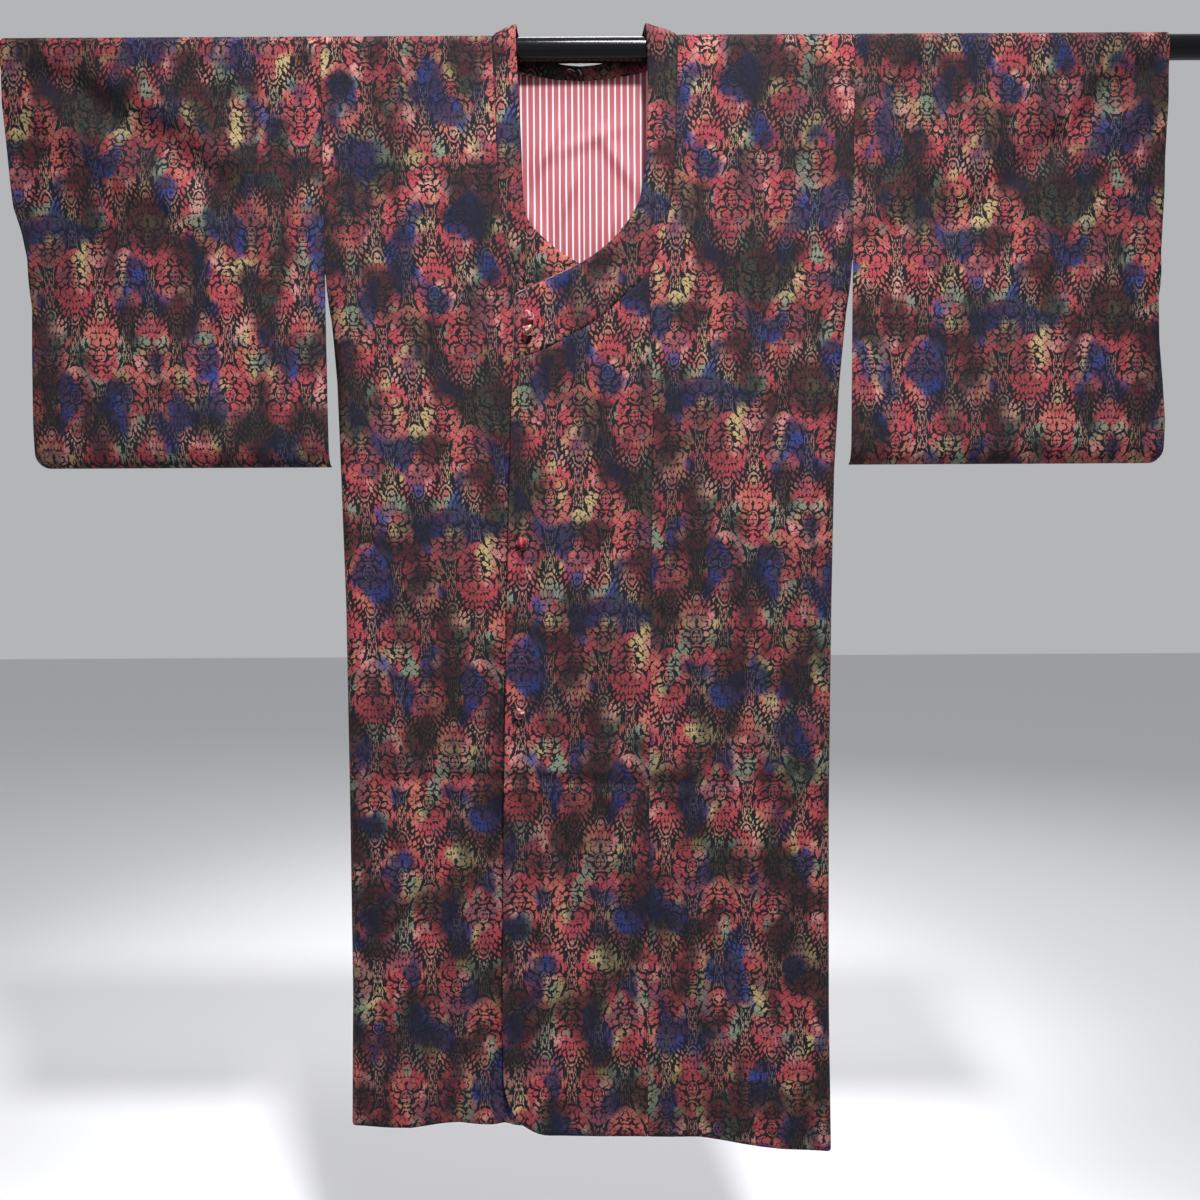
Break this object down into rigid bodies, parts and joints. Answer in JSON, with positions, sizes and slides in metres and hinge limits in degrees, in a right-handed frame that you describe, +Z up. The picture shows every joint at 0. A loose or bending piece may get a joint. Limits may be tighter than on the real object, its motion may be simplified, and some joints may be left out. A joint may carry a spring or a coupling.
{
  "type": "kimono coat hung on a round rod",
  "caption": "Lined crepe kimono coat with a low rounded front neck, overlapping fronts and cloth ball buttons, hung flat through its sleeves on a round black rod",
  "frame": {"origin": "the middle of the rod's axis, on the coat's centre line", "axes": "+X towards the wearer's left along the rod, -Y towards whoever faces the coat's front, +Z up"},
  "size_m": [1.4, 0.0506, 1.3001],
  "materials": {
    "crepe_print": "matt silk crepe, dark ground printed with a many-coloured damask",
    "lining_stripe": "smooth lining, rose with fine white stripes",
    "rod_gloss": "gloss black"
  },
  "bodies": {
    "root": {"rod": "rod_gloss", "body_left": "crepe_print", "body_right": "crepe_print", "overlap_left": "crepe_print", "overlap_right": "crepe_print", "collar": "crepe_print", "lining_back": "lining_stripe", "sleeve_left": "crepe_print", "sleeve_right": "crepe_print", "button_top": "crepe_print", "button_second": "crepe_print", "button_middle": "crepe_print", "button_low": "crepe_print"}
  },
  "joints": []
}
